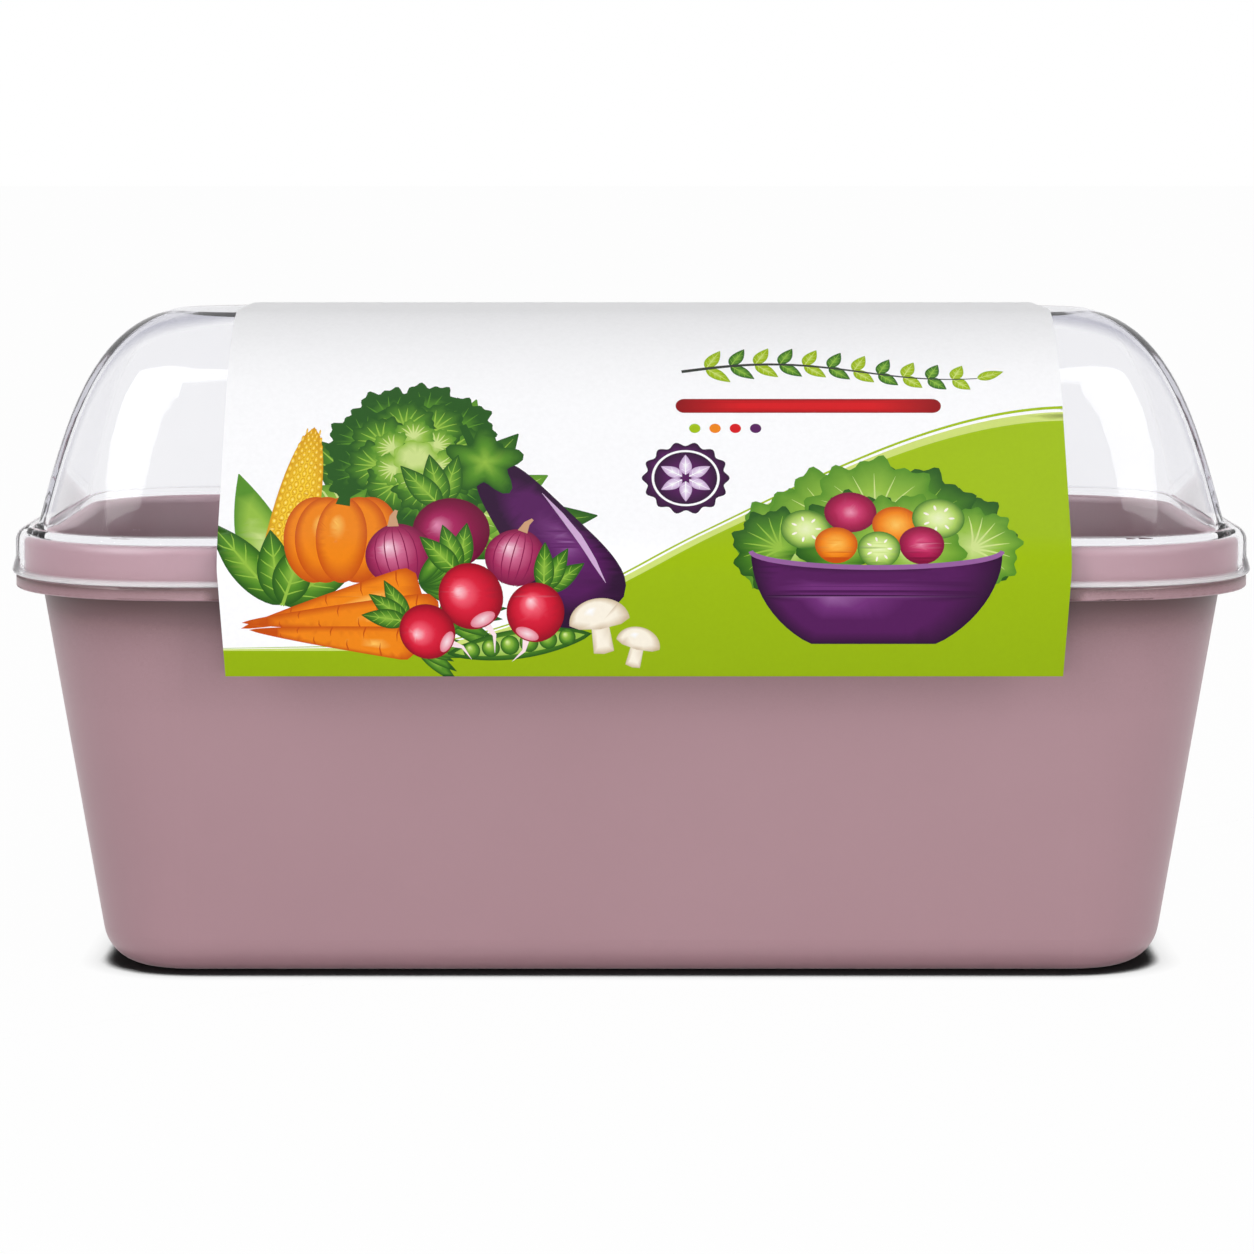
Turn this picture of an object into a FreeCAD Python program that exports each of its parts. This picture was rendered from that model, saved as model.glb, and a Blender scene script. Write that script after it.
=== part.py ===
import FreeCAD, Part
import math
import os
import re

import Sketcher

# Lidded vegetable box: a tapered tub, a perforated basket hung in it by a hollow rim,
# a clear domed lid with a turning vent in its top, and a printed card sleeve over the lid.
# Millimetres, Z up, X along the box, origin at the middle of the base on the table.
# Every outline in plan is the rim outline moved inwards by a named inset.

SIZES = {
    # rim outline, shared by the tub's lip and the lid's skirt
    "rim_length": 396.6,
    "rim_width": 228.6,
    "rim_corner": 57,
    # tub
    "tub_wall": 2.2,
    "tub_inset": 7.8,
    "draft": 9.27,
    "base_round": 14,
    "foot_width": 9,
    "foot_height": 0.8,
    "flange_top": 127.2,
    "flange_thickness": 2.2,
    "lip_height": 4.1,
    "upstand": 7,
    # finger lugs on the tub and lifting tabs on the basket, at both ends
    "tab_reach": 3.8,
    "tab_width": 40,
    "lug_width": 12,
    "tab_gap": 1.2,
    # basket
    "basket_wall": 1.8,
    "basket_gap": 1.2,
    "basket_top": 139.7,
    "basket_round": 16,
    "basket_edge": 3,
    "sump_height": 11,
    "slot_width": 4.6,
    "slot_height": 7.5,
    "slot_pitch": 13,
    "row_pitch": 14.2,
    "slot_rows": 6,
    "slot_margin": 22,
    "side_columns": 22,
    "end_columns": 9,
    "drain_length": 26,
    "drain_columns": 9,
    "drain_rows": 9,
    # fits between pieces
    "seat_gap": 0.3,
    "fit_gap": 0.4,
    "run_gap": 0.06,
    # lid
    "lid_wall": 2.3,
    "skirt_round": 4.5,
    "flare_height": 5.5,
    "flare_angle": 16.5,
    "flare_round": 1.2,
    "dome_foot": 2.4,
    "dome_end_inset": 7,
    "dome_front_inset": 15,
    "dome_height": 67.5,
    "dome_share": 0.985,
    "dome_base_corner": 43,
    "dome_top_corner": 30,
    "end_lean": 17.8,
    "end_reach": 41.5,
    "end_power": 4,
    "front_lean": 9,
    "front_reach": 63,
    "front_power": 1.85,
    # vent
    "well_radius": 30,
    "well_depth": 12,
    "pedestal_radius": 20.5,
    "pedestal_height": 4.5,
    "vent_wall": 2.2,
    "window_inner": 8.3,
    "window_outer": 16.3,
    "window_angle": 38,
    "window_count": 4,
    "stem_radius": 5,
    "hub_radius": 7.2,
    "shutter_thickness": 1.8,
    "shutter_hub": 4,
    "barb_reach": 0.7,
    "barb_height": 1.4,
    "knob_radius": 22,
    "knob_edge": 3,
    "air_gap": 1.4,
    "knob_sink": 0.6,
    "grip_width": 9,
    "grip_depth": 2.4,
    # sleeve
    "card": 0.5,
    "card_gap": 0.5,
    "sleeve_length": 264.9,
    "sleeve_shift": 4,
    "sleeve_drop": 27.5,
}

# Heights of the dome's loft sections, as shares of the dome's height
DOME_STEPS = (0, 0.2, 0.4, 0.58, 0.73, 0.84, 0.92, 0.97, 1)
# Heights at which the card lies along the dome, and the step used to find the dome's slope
CARD_SHARES = (0.56, 0.66, 0.76, 0.85, 0.92, 0.97)
CARD_STEP = 0.01

# Places derived from the sizes, as formulas of the sheet's aliases
LIP_BOTTOM = "(flange_top - lip_height)"
BASKET_LIP = "(lid_wall + fit_gap)"
BASKET_INSET = "(tub_inset + tub_wall + basket_gap)"
BASKET_BOTTOM = "(tub_wall + foot_height + sump_height)"
LID_UNDER = "(basket_top + seat_gap)"
LID_FLANGE = "(basket_top + seat_gap + lid_wall)"
LID_TOP = "(basket_top + seat_gap + lid_wall + dome_height)"
SKIRT_BOTTOM = "(flange_top + seat_gap)"
FLARE_TOP = f"({SKIRT_BOTTOM} + flare_height)"
WELL_FLOOR = f"({LID_TOP} - well_depth)"
PLATE_TOP = f"({WELL_FLOOR} + pedestal_height)"
PLATE_UNDER = f"({PLATE_TOP} - vent_wall)"
SHUTTER_TOP = f"({PLATE_UNDER} - seat_gap)"
SHUTTER_UNDER = f"({SHUTTER_TOP} - shutter_thickness)"
CAP_UNDER = f"({PLATE_TOP} + air_gap)"
CAP_TOP = f"({LID_TOP} - knob_sink)"

doc = FreeCAD.newDocument("vegetable_box")
sheet = doc.addObject("Spreadsheet::Sheet", "sheet")
for row, (alias, number) in enumerate(SIZES.items(), 1):
    sheet.set(f"A{row}", alias)
    sheet.set(f"B{row}", str(number))
    sheet.setAlias(f"B{row}", alias)
doc.recompute()
size = {alias: float(sheet.get(alias)) for alias in SIZES}
# How near two places count as the same, and the rough size a new sketch starts from
NEAR = 1e-3
START = 10


def bind(thing, path, formula):
    """Drive a property or a named constraint from the sheet."""
    known = lambda word: "sheet." + word[0] if word[0] in SIZES else word[0]
    thing.setExpression(path, re.sub(r"[a-z][a-z_]*", known, formula))


def new_body(label):
    body = doc.addObject("PartDesign::Body", label)
    body.Label = label
    return body


def new_sketch(body, name, role="XY_Plane", lift="0"):
    """An empty sketch on one of the body's own planes, lifted along the plane's normal."""
    sketch = body.newObject("Sketcher::SketchObject", name)
    plane = [item for item in body.Origin.OriginFeatures if item.Role == role][0]
    sketch.AttachmentSupport = [(plane, "")]
    sketch.MapMode = "FlatFace"
    bind(sketch, ".AttachmentOffset.Base.z", lift)
    return sketch


def dimension(sketch, name, formula, kind, *where):
    """Add a driving dimension bound to the sheet."""
    index = sketch.addConstraint(Sketcher.Constraint(kind, *where))
    sketch.renameConstraint(index, name)
    bind(sketch, f"Constraints.{name}", formula)


def add_line(sketch, start, end):
    return sketch.addGeometry(Part.LineSegment(FreeCAD.Vector(*start, 0), FreeCAD.Vector(*end, 0)), False)


def add_arc(sketch, centre, radius, first, last):
    circle = Part.Circle(FreeCAD.Vector(*centre, 0), FreeCAD.Vector(0, 0, 1), radius)
    return sketch.addGeometry(Part.ArcOfCircle(circle, first, last), False)


def join(sketch, kind, first, first_end, second, second_end):
    sketch.addConstraint(Sketcher.Constraint(kind, first, first_end, second, second_end))


def add_outline(sketch, tag, length, width, corner, guess):
    """A rounded rectangle about the sketch's origin; guess gives rough sizes to start from."""
    x, y, r = guess[0] / 2, guess[1] / 2, guess[2]
    ends = [((r - x, -y), (x - r, -y)), ((x, r - y), (x, y - r)),
            ((x - r, y), (r - x, y)), ((-x, y - r), (-x, r - y))]
    centres = [(x - r, r - y), (x - r, y - r), (r - x, y - r), (r - x, r - y)]
    lines = []
    arcs = []
    for quarter in range(4):
        first = (quarter - 1) * math.pi / 2
        lines.append(add_line(sketch, *ends[quarter]))
        arcs.append(add_arc(sketch, centres[quarter], r, first, first + math.pi / 2))
    for quarter in range(4):
        join(sketch, "Tangent", lines[quarter], 2, arcs[quarter], 1)
        join(sketch, "Tangent", arcs[quarter], 2, lines[(quarter + 1) % 4], 1)
    for quarter in (0, 2):
        sketch.addConstraint(Sketcher.Constraint("Horizontal", lines[quarter]))
        sketch.addConstraint(Sketcher.Constraint("Vertical", lines[quarter + 1]))
    for quarter in (1, 2, 3):
        sketch.addConstraint(Sketcher.Constraint("Equal", arcs[0], arcs[quarter]))
    sketch.addConstraint(Sketcher.Constraint("Symmetric", arcs[0], 3, arcs[2], 3, -1, 1))
    dimension(sketch, tag + "_length", length, "DistanceX", lines[3], 1, lines[1], 1, 2 * x)
    dimension(sketch, tag + "_width", width, "DistanceY", lines[0], 1, lines[2], 1, 2 * y)
    dimension(sketch, tag + "_corner", corner, "Radius", arcs[0], r)


def add_inset_outline(sketch, tag, inset):
    """The rim outline moved inwards by a formula."""
    rim = (size["rim_length"], size["rim_width"], size["rim_corner"])
    sizes = [f"rim_length - 2*{inset}", f"rim_width - 2*{inset}", f"rim_corner - {inset}"]
    add_outline(sketch, tag, *sizes, rim)


def add_block(sketch, tag, left, low, across, up):
    """A rectangle with its lower left corner at left, low."""
    corners = [(1, 1), (2, 1), (2, 2), (1, 2)]
    sides = [add_line(sketch, corners[i], corners[(i + 1) % 4]) for i in range(4)]
    for i in range(4):
        join(sketch, "Coincident", sides[i], 2, sides[(i + 1) % 4], 1)
    for i in (0, 2):
        sketch.addConstraint(Sketcher.Constraint("Horizontal", sides[i]))
        sketch.addConstraint(Sketcher.Constraint("Vertical", sides[i + 1]))
    dimension(sketch, tag + "_left", left, "DistanceX", -1, 1, sides[0], 1, 1)
    dimension(sketch, tag + "_low", low, "DistanceY", -1, 1, sides[0], 1, 1)
    dimension(sketch, tag + "_across", across, "DistanceX", sides[0], 1, sides[0], 2, 1)
    dimension(sketch, tag + "_up", up, "DistanceY", sides[1], 1, sides[1], 2, 1)


def add_polygon(sketch, points):
    """A closed outline through points given as pairs of formulas, with each corner dimensioned."""
    count = len(points)
    angle = [2 * math.pi * i / count for i in range(count)]
    rough = [(START * (2 + math.cos(a)), START * (2 + math.sin(a))) for a in angle]
    sides = [add_line(sketch, rough[i], rough[(i + 1) % count]) for i in range(count)]
    for i in range(count):
        join(sketch, "Coincident", sides[i], 2, sides[(i + 1) % count], 1)
    for i, (across, up) in enumerate(points):
        dimension(sketch, f"across_{i}", across, "DistanceX", -1, 1, sides[i], 1, rough[i][0])
        dimension(sketch, f"up_{i}", up, "DistanceY", -1, 1, sides[i], 1, rough[i][1])


def feature(body, kind, name, sketch, length, reverse=False, draft=None, both=False):
    """A pad or pocket of a sketch over a length, optionally drawn in by the draft."""
    made = body.newObject("PartDesign::" + kind, name)
    made.Profile = sketch
    made.Reversed = reverse
    made.Midplane = both
    bind(made, "Length", length)
    if draft:
        bind(made, "TaperAngle", draft)
    doc.recompute()
    return made


def ring(body, kind, name, low, high, outer, inner=None):
    """A pad or pocket between two heights, inside one inset outline and outside another."""
    sketch = new_sketch(body, name + "_outline", lift=low)
    add_inset_outline(sketch, "outer", outer)
    if inner:
        add_inset_outline(sketch, "inner", inner)
    return feature(body, kind, name, sketch, f"{high} - {low}", reverse=(kind == "Pocket"))


def tapered(body, kind, name, top, bottom, inset, draft="-draft"):
    """A pad or pocket from an inset outline at the top down to the bottom, drawn in or flared out."""
    sketch = new_sketch(body, name + "_outline", lift=top)
    add_inset_outline(sketch, "outer", inset)
    return feature(body, kind, name, sketch, f"{top} - {bottom}", reverse=(kind == "Pad"), draft=draft)


def round_edges(body, name, radius, chosen):
    """Fillet the edges of the body so far that the test chooses."""
    base = body.Tip
    edges = [f"Edge{i}" for i, edge in enumerate(base.Shape.Edges, 1) if chosen(edge)]
    made = body.newObject("PartDesign::Fillet", name)
    made.Base = (base, edges)
    bind(made, "Radius", radius)
    doc.recompute()
    return made


def level(edge, height):
    """Whether an edge lies flat at a height."""
    box = edge.BoundBox
    return abs(box.ZMin - height) < NEAR and abs(box.ZMax - height) < NEAR


def on_outline(edge, inset):
    """Whether an edge runs on the rim outline moved inwards by an inset."""
    box = edge.BoundBox
    along = max(-box.XMin, box.XMax) - (size["rim_length"] / 2 - inset)
    across = max(-box.YMin, box.YMax) - (size["rim_width"] / 2 - inset)
    return abs(along) < NEAR or abs(across) < NEAR


def grid(body, name, pocket, along, up):
    """Repeat a pocket in two directions, each given as axis, pitch formula and count formula."""
    pattern = body.newObject("PartDesign::MultiTransform", name)
    steps = []
    for tag, (axis, pitch, count) in (("_along", along), ("_up", up)):
        step = doc.addObject("PartDesign::LinearPattern", name + tag)
        body.addObject(step)
        step.Direction = (pocket.Profile[0], [axis])
        bind(step, "Length", f"({count} - 1) * {pitch}")
        bind(step, "Occurrences", count)
        steps.append(step)
    pattern.Originals = [pocket]
    pattern.Transformations = steps
    body.Tip = pattern
    doc.recompute()
    return pattern


def polar(body, name, pocket, count):
    """Repeat a pocket evenly round the Z axis."""
    pattern = body.newObject("PartDesign::PolarPattern", name)
    pattern.Originals = [pocket]
    pattern.Axis = (pocket.Profile[0], ["N_Axis"])
    pattern.Angle = 360
    bind(pattern, "Occurrences", count)
    body.Tip = pattern
    doc.recompute()
    return pattern


def end_blocks(body, kind, name, low, high, start, reach, blocks):
    """A pad or pocket at both ends of the box; blocks are pairs of Y start and Y length."""
    sketch = new_sketch(body, name + "_outline", lift=low)
    for i, (first, up) in enumerate(blocks):
        add_block(sketch, f"right_{i}", f"rim_length/2 - {start}", first, f"{start} + {reach}", up)
        add_block(sketch, f"left_{i}", f"0 - rim_length/2 - {reach}", first, f"{start} + {reach}", up)
    return feature(body, kind, name, sketch, f"{high} - {low}", reverse=(kind == "Pocket"))


def revolve(body, name, points):
    """A solid of revolution about Z from radius and height pairs."""
    sketch = new_sketch(body, name + "_profile", "XZ_Plane")
    add_polygon(sketch, points)
    made = body.newObject("PartDesign::Revolution", name)
    made.Profile = sketch
    made.ReferenceAxis = (sketch, ["V_Axis"])
    made.Angle = 360
    doc.recompute()
    return made


def add_window(sketch, middle):
    """A vent window between two radii, centred on an angle."""
    half = math.radians(size["window_angle"] / 2)
    centre = math.radians(180 / size["window_count"]) if middle != "0" else 0
    first, last = centre - half, centre + half
    near, far = size["window_inner"], size["window_outer"]
    inner = add_arc(sketch, (0, 0), near, first, last)
    outer = add_arc(sketch, (0, 0), far, first, last)
    sides = []
    for turn in (first, last):
        start = (near * math.cos(turn), near * math.sin(turn))
        sides.append(add_line(sketch, start, (far * math.cos(turn), far * math.sin(turn))))
    for end, side in enumerate(sides, 1):
        join(sketch, "Coincident", side, 1, inner, end)
        join(sketch, "Coincident", side, 2, outer, end)
    join(sketch, "Coincident", inner, 3, -1, 1)
    join(sketch, "Coincident", outer, 3, -1, 1)
    dimension(sketch, "inner", "window_inner", "Radius", inner, near)
    dimension(sketch, "outer", "window_outer", "Radius", outer, far)
    dimension(sketch, "first", f"({middle} - window_angle/2) * 1deg", "Angle", sides[0], first)
    dimension(sketch, "last", f"({middle} + window_angle/2) * 1deg", "Angle", sides[1], last)


def add_grip(sketch, tag, side):
    """The part of a circle beyond a straight grip bar, on one side of it."""
    radius, half = size["knob_radius"] - size["knob_edge"], size["grip_width"] / 2
    turn = math.asin(half / radius)
    first = turn if side > 0 else math.pi + turn
    last = math.pi - turn if side > 0 else 2 * math.pi - turn
    arc = add_arc(sketch, (0, 0), radius, first, last)
    reach = radius * math.cos(turn) * side
    chord = add_line(sketch, (-reach, half * side), (reach, half * side))
    join(sketch, "Coincident", chord, 1, arc, 2)
    join(sketch, "Coincident", chord, 2, arc, 1)
    join(sketch, "Coincident", arc, 3, -1, 1)
    sketch.addConstraint(Sketcher.Constraint("Horizontal", chord))
    dimension(sketch, tag + "_radius", "knob_radius - knob_edge", "Radius", arc, radius)
    ends = (-1, 1, chord, 1) if side > 0 else (chord, 1, -1, 1)
    dimension(sketch, tag + "_half", "grip_width/2", "DistanceY", *ends, half)


def dome_drawn(share, way):
    """How far the dome stands inside the rim at a share of its height, at the ends or at the front."""
    power = size[way + "_power"]
    fall = 1 - (1 - (share * size["dome_share"]) ** power) ** (1 / power)
    return size[f"dome_{way}_inset"] + size[way + "_lean"] * share + size[way + "_reach"] * fall


def dome_sections(body, name, inset, lower):
    """Loft sections of the dome, moved inwards by one formula and down by another."""
    sections = []
    for step, share in enumerate(DOME_STEPS):
        sketch = new_sketch(body, f"{name}_{step}", lift=f"{LID_FLANGE} - {lower} + {share} * dome_height")
        across = []
        guess = []
        for way, side in (("end", "length"), ("front", "width")):
            fall = f"(1 - (1 - ({share} * dome_share)^{way}_power)^(1/{way}_power))"
            drawn = f"dome_{way}_inset + {inset} + {way}_lean * {share} + {way}_reach * {fall}"
            across.append(f"rim_{side} - 2*({drawn})")
            guess.append(size["rim_" + side] - 2 * dome_drawn(share, way))
        corner = f"dome_base_corner + (dome_top_corner - dome_base_corner) * {share} - {inset}"
        guess.append(size["dome_top_corner"])
        add_outline(sketch, "dome", *across, corner, guess)
        sections.append(sketch)
    return sections


def card_face(offset):
    """Points of the sleeve's front half at an offset outside the lid, from the flap's foot to the fold."""
    def dome(share):
        across = dome_drawn(share, "front") - size["rim_width"] / 2
        return FreeCAD.Vector(0, across, lid_flange + share * size["dome_height"])

    def beside(share):
        along = (dome(share + CARD_STEP) - dome(share - CARD_STEP)).normalize()
        return dome(share) + FreeCAD.Vector(0, -along.z, along.y) * offset

    skirt = -size["rim_width"] / 2 - offset
    hang = skirt - flare_reach
    flap = [FreeCAD.Vector(0, hang, skirt_bottom - size["sleeve_drop"]), FreeCAD.Vector(0, hang, flare_top),
            FreeCAD.Vector(0, skirt, lid_flange - size["skirt_round"] / 2)]
    fold = dome(1)
    fold.z += offset
    return flap, [beside(share) for share in CARD_SHARES] + [fold]


def card_edges(offset):
    """Edges of one face of the card, from the front flap's foot over the lid to the back flap's foot."""
    flap, shoulder = card_face(offset)
    curve = Part.BSplineCurve()
    curve.interpolate(shoulder)
    front = [Part.makeLine(flap[0], flap[1]), Part.makeLine(flap[1], flap[2]),
             Part.makeLine(flap[2], shoulder[0]), curve.toShape()]
    over = FreeCAD.Vector(0, -shoulder[-1].y, shoulder[-1].z)
    back = [edge.mirror(FreeCAD.Vector(), FreeCAD.Vector(0, 1, 0)) for edge in front]
    return front + [Part.makeLine(shoulder[-1], over)] + back


def loft(body, kind, name, sections):
    made = body.newObject("PartDesign::" + kind, name)
    made.Profile = sections[0]
    made.Sections = sections[1:]
    doc.recompute()
    return made


# Tub
lip_bottom = size["flange_top"] - size["lip_height"]
tub_floor = size["tub_wall"] + size["foot_height"]
tab_end = size["rim_length"] / 2 + size["tab_reach"]
tub = new_body("outer_tub")
tapered(tub, "Pad", "tub_block", "flange_top", "0", "tub_inset")
tapered(tub, "Pocket", "tub_hollow", "flange_top", "(tub_wall + foot_height)", "(tub_inset + tub_wall)")
round_edges(tub, "tub_floor_round", "base_round - tub_wall", lambda edge: level(edge, tub_floor))
round_edges(tub, "tub_base_round", "base_round", lambda edge: level(edge, 0))
foot = new_sketch(tub, "foot_outline")
foot_inset = "(tub_inset + flange_top * tan(draft * 1deg) + base_round + foot_width)"
add_outline(foot, "foot", f"rim_length - 2*{foot_inset}", f"rim_width - 2*{foot_inset}", "foot_width",
            (size["rim_length"], size["rim_width"], size["foot_width"]))
feature(tub, "Pocket", "foot_recess", foot, "foot_height", reverse=True)
ring(tub, "Pad", "tub_flange", "(flange_top - flange_thickness)", "flange_top", "0",
     "(tub_inset + tub_wall/2)")
ring(tub, "Pad", "tub_lip", LIP_BOTTOM, "flange_top", "0", "flange_thickness")
ring(tub, "Pad", "tub_upstand", "flange_top", "(flange_top + upstand)", "tub_inset", "(tub_inset + tub_wall)")
round_edges(tub, "lip_round", "flange_thickness/3", lambda edge: on_outline(edge, 0)
            and (level(edge, lip_bottom) or level(edge, size["flange_top"])))
tab_start = f"({BASKET_LIP} + basket_wall)"
end_blocks(tub, "Pocket", "tab_notch", LIP_BOTTOM, "flange_top", f"({tab_start} + tab_gap)", "tab_reach",
           [("0 - tab_width/2 - tab_gap", "tab_width + 2*tab_gap")])
end_blocks(tub, "Pad", "lugs", LIP_BOTTOM, "flange_top", "(2*flange_thickness)", "tab_reach",
           [("tab_width/2 + tab_gap", "lug_width"), ("0 - tab_width/2 - tab_gap - lug_width", "lug_width")])
round_edges(tub, "lug_round", "tab_reach/2", lambda edge: edge.BoundBox.ZLength > NEAR
            and abs(max(-edge.BoundBox.XMin, edge.BoundBox.XMax) - tab_end) < NEAR
            and edge.BoundBox.XLength < NEAR)

# Basket
basket_bottom = tub_floor + size["sump_height"]
basket_floor = basket_bottom + size["basket_wall"]
rim_inside = size["tub_inset"] + size["tub_wall"] + size["basket_gap"] + size["basket_wall"]
rim_outside = size["lid_wall"] + size["fit_gap"]
basket = new_body("inner_basket")
tapered(basket, "Pad", "basket_block", "basket_top", BASKET_BOTTOM, BASKET_INSET)
tapered(basket, "Pocket", "basket_hollow", "basket_top", f"({BASKET_BOTTOM} + basket_wall)",
        f"({BASKET_INSET} + basket_wall)")
round_edges(basket, "basket_floor_round", "basket_round - basket_wall",
            lambda edge: level(edge, basket_floor))
round_edges(basket, "basket_base_round", "basket_round", lambda edge: level(edge, basket_bottom))
ring(basket, "Pad", "basket_flange", "(basket_top - basket_wall)", "basket_top", BASKET_LIP,
     f"({BASKET_INSET} + basket_wall/2)")
ring(basket, "Pad", "basket_lip", SKIRT_BOTTOM, "basket_top", BASKET_LIP, f"({BASKET_LIP} + basket_wall)")
round_edges(basket, "basket_edge_round", "basket_edge", lambda edge: level(edge, size["basket_top"])
            and (on_outline(edge, rim_inside) or on_outline(edge, rim_outside)))
end_blocks(basket, "Pad", "tab", LIP_BOTTOM, "flange_top", tab_start, "tab_reach",
           [("0 - tab_width/2", "tab_width")])
end_blocks(basket, "Pad", "tab_web", LIP_BOTTOM, f"({SKIRT_BOTTOM} + basket_wall)", tab_start,
           f"(0 - {BASKET_LIP})", [("0 - tab_width/2", "tab_width")])
round_edges(basket, "tab_round", "tab_reach/2", lambda edge: edge.BoundBox.ZLength > NEAR
            and abs(max(-edge.BoundBox.XMin, edge.BoundBox.XMax) - tab_end) < NEAR
            and edge.BoundBox.XLength < NEAR)
slot_low = "(basket_top - slot_margin - slot_height - (slot_rows - 1) * row_pitch)"
for way, role, count, through in (("side", "XZ_Plane", "side_columns", "rim_width"),
                                  ("end", "YZ_Plane", "end_columns", "rim_length")):
    slot = new_sketch(basket, way + "_slot", role)
    add_block(slot, "slot", f"(0 - ({count} - 1) * slot_pitch/2 - slot_width/2)", slot_low, "slot_width",
              "slot_height")
    cut = feature(basket, "Pocket", way + "_slots", slot, through, both=True)
    grid(basket, way + "_grid", cut, ("H_Axis", "slot_pitch", count), ("V_Axis", "row_pitch", "slot_rows"))
drain = new_sketch(basket, "drain_slot", lift=BASKET_BOTTOM)
drain_pitch = "(drain_length + slot_width)"
add_block(drain, "slot", f"(0 - (drain_columns - 1) * {drain_pitch}/2 - drain_length/2)",
          "(0 - (drain_rows - 1) * slot_pitch/2 - slot_width/2)", "drain_length", "slot_width")
cut = feature(basket, "Pocket", "drain_slots", drain, "2*basket_wall", both=True)
grid(basket, "drain_grid", cut, ("H_Axis", drain_pitch, "drain_columns"),
     ("V_Axis", "slot_pitch", "drain_rows"))

# Lid
lid_under = size["basket_top"] + size["seat_gap"]
lid_flange = lid_under + size["lid_wall"]
skirt_bottom = size["flange_top"] + size["seat_gap"]
flare_top = skirt_bottom + size["flare_height"]
flare_reach = size["flare_height"] * math.tan(math.radians(size["flare_angle"]))
lid = new_body("lid_dome")
ring(lid, "Pad", "skirt", SKIRT_BOTTOM, LID_FLANGE, "0")
tapered(lid, "Pad", "flare", FLARE_TOP, SKIRT_BOTTOM, "0", draft="flare_angle")
round_edges(lid, "skirt_top_round", "skirt_round", lambda edge: level(edge, lid_flange))
round_edges(lid, "flare_edge_round", "flare_round", lambda edge: level(edge, skirt_bottom)
            and on_outline(edge, -flare_reach))
loft(lid, "AdditiveLoft", "dome", dome_sections(lid, "dome_section", "0", "0"))
round_edges(lid, "dome_foot_round", "dome_foot", lambda edge: level(edge, lid_flange)
            and not on_outline(edge, size["skirt_round"]))
ring(lid, "Pocket", "rim_recess", SKIRT_BOTTOM, LID_UNDER, "lid_wall")
round_edges(lid, "recess_round", "skirt_round - lid_wall", lambda edge: level(edge, lid_under)
            and on_outline(edge, size["lid_wall"]))
loft(lid, "SubtractiveLoft", "dome_hollow", dome_sections(lid, "hollow_section", "lid_wall", "lid_wall"))
well = new_sketch(lid, "well_outline", lift=LID_TOP)
circle = Part.Circle(FreeCAD.Vector(0, 0, 0), FreeCAD.Vector(0, 0, 1), size["well_radius"])
hole = well.addGeometry(circle, False)
join(well, "Coincident", hole, 3, -1, 1)
dimension(well, "radius", "well_radius", "Radius", hole, size["well_radius"])
feature(lid, "Pocket", "well_cut", well, "2*lid_wall")
revolve(lid, "vent_cup", [
    ("well_radius + vent_wall", LID_TOP), ("well_radius", LID_TOP), ("well_radius", WELL_FLOOR),
    ("pedestal_radius", WELL_FLOOR), ("pedestal_radius", PLATE_TOP), ("stem_radius + run_gap", PLATE_TOP),
    ("stem_radius + run_gap", PLATE_UNDER), ("pedestal_radius - vent_wall", PLATE_UNDER),
    ("pedestal_radius - vent_wall", f"{WELL_FLOOR} - vent_wall"),
    ("well_radius + vent_wall", f"{WELL_FLOOR} - vent_wall")])
window = new_sketch(lid, "lid_window", lift=PLATE_TOP)
add_window(window, "0")
cut = feature(lid, "Pocket", "lid_window_cut", window, "2*vent_wall")
polar(lid, "lid_windows", cut, "window_count")

# Vent knob, with a stem that snaps through the lid and the shutter
stem_bottom = f"({SHUTTER_UNDER} - shutter_hub - run_gap - barb_height)"
knob = new_body("vent_knob")
revolve(knob, "knob_body", [
    ("0", stem_bottom), ("stem_radius - barb_reach", stem_bottom),
    ("stem_radius + barb_reach", f"{stem_bottom} + barb_height"),
    ("stem_radius", f"{stem_bottom} + barb_height"),
    ("stem_radius", f"{PLATE_TOP} + seat_gap"), ("hub_radius", f"{PLATE_TOP} + seat_gap"),
    ("hub_radius", CAP_UNDER), ("knob_radius", CAP_UNDER), ("knob_radius", f"{CAP_UNDER} + knob_edge"),
    ("knob_radius - 2*knob_edge", CAP_TOP), ("0", CAP_TOP)])
grip = new_sketch(knob, "grip_outline", lift=CAP_TOP)
add_grip(grip, "near", -1)
add_grip(grip, "far", 1)
feature(knob, "Pocket", "grip", grip, "grip_depth")
round_edges(knob, "knob_round", "knob_edge/3", lambda edge: edge.Closed
            and edge.BoundBox.XMax > size["knob_radius"] - NEAR)

# Vent shutter, under the lid's window plate and turned by the knob
shutter = new_body("vent_shutter")
shutter_radius = "(pedestal_radius - vent_wall - fit_gap)"
revolve(shutter, "shutter_body", [
    ("stem_radius + run_gap", f"{SHUTTER_UNDER} - shutter_hub"),
    ("hub_radius", f"{SHUTTER_UNDER} - shutter_hub"),
    ("hub_radius", SHUTTER_UNDER), (shutter_radius, SHUTTER_UNDER), (shutter_radius, SHUTTER_TOP),
    ("stem_radius + run_gap", SHUTTER_TOP)])
window = new_sketch(shutter, "shutter_window", lift=SHUTTER_TOP)
add_window(window, "180/window_count")
cut = feature(shutter, "Pocket", "shutter_window_cut", window, "2*shutter_thickness")
polar(shutter, "shutter_windows", cut, "window_count")

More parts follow.
